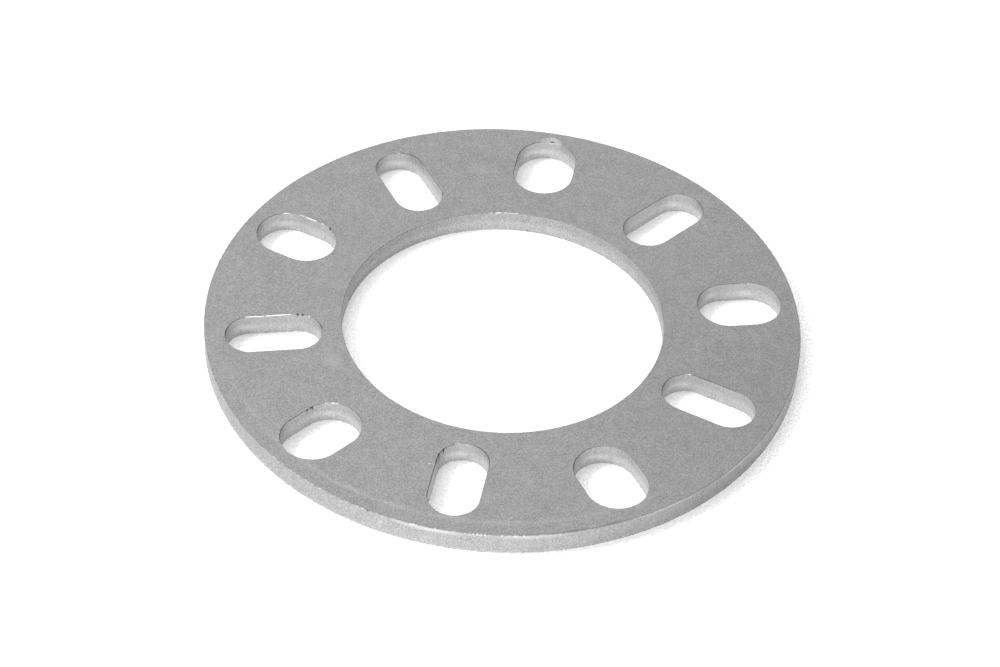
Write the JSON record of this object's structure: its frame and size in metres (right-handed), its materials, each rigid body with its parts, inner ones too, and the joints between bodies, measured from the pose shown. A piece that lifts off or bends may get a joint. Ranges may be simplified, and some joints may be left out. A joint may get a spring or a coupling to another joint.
{
  "type": "wheel spacer",
  "caption": "Flat round aluminium wheel spacer with a large bore and radial stud slots, wide and narrow by turns.",
  "frame": {"origin": "centre of the face that lies against the hub", "axes": "+Z from the hub towards the wheel, +Y along the centreline of one wide slot"},
  "size_m": [0.165, 0.165, 0.0063],
  "materials": {
    "aluminium": "tumbled, dull grey with a fine grain, edges lightly broken"
  },
  "bodies": {
    "root": {"spacer_plate": "aluminium"}
  },
  "joints": []
}
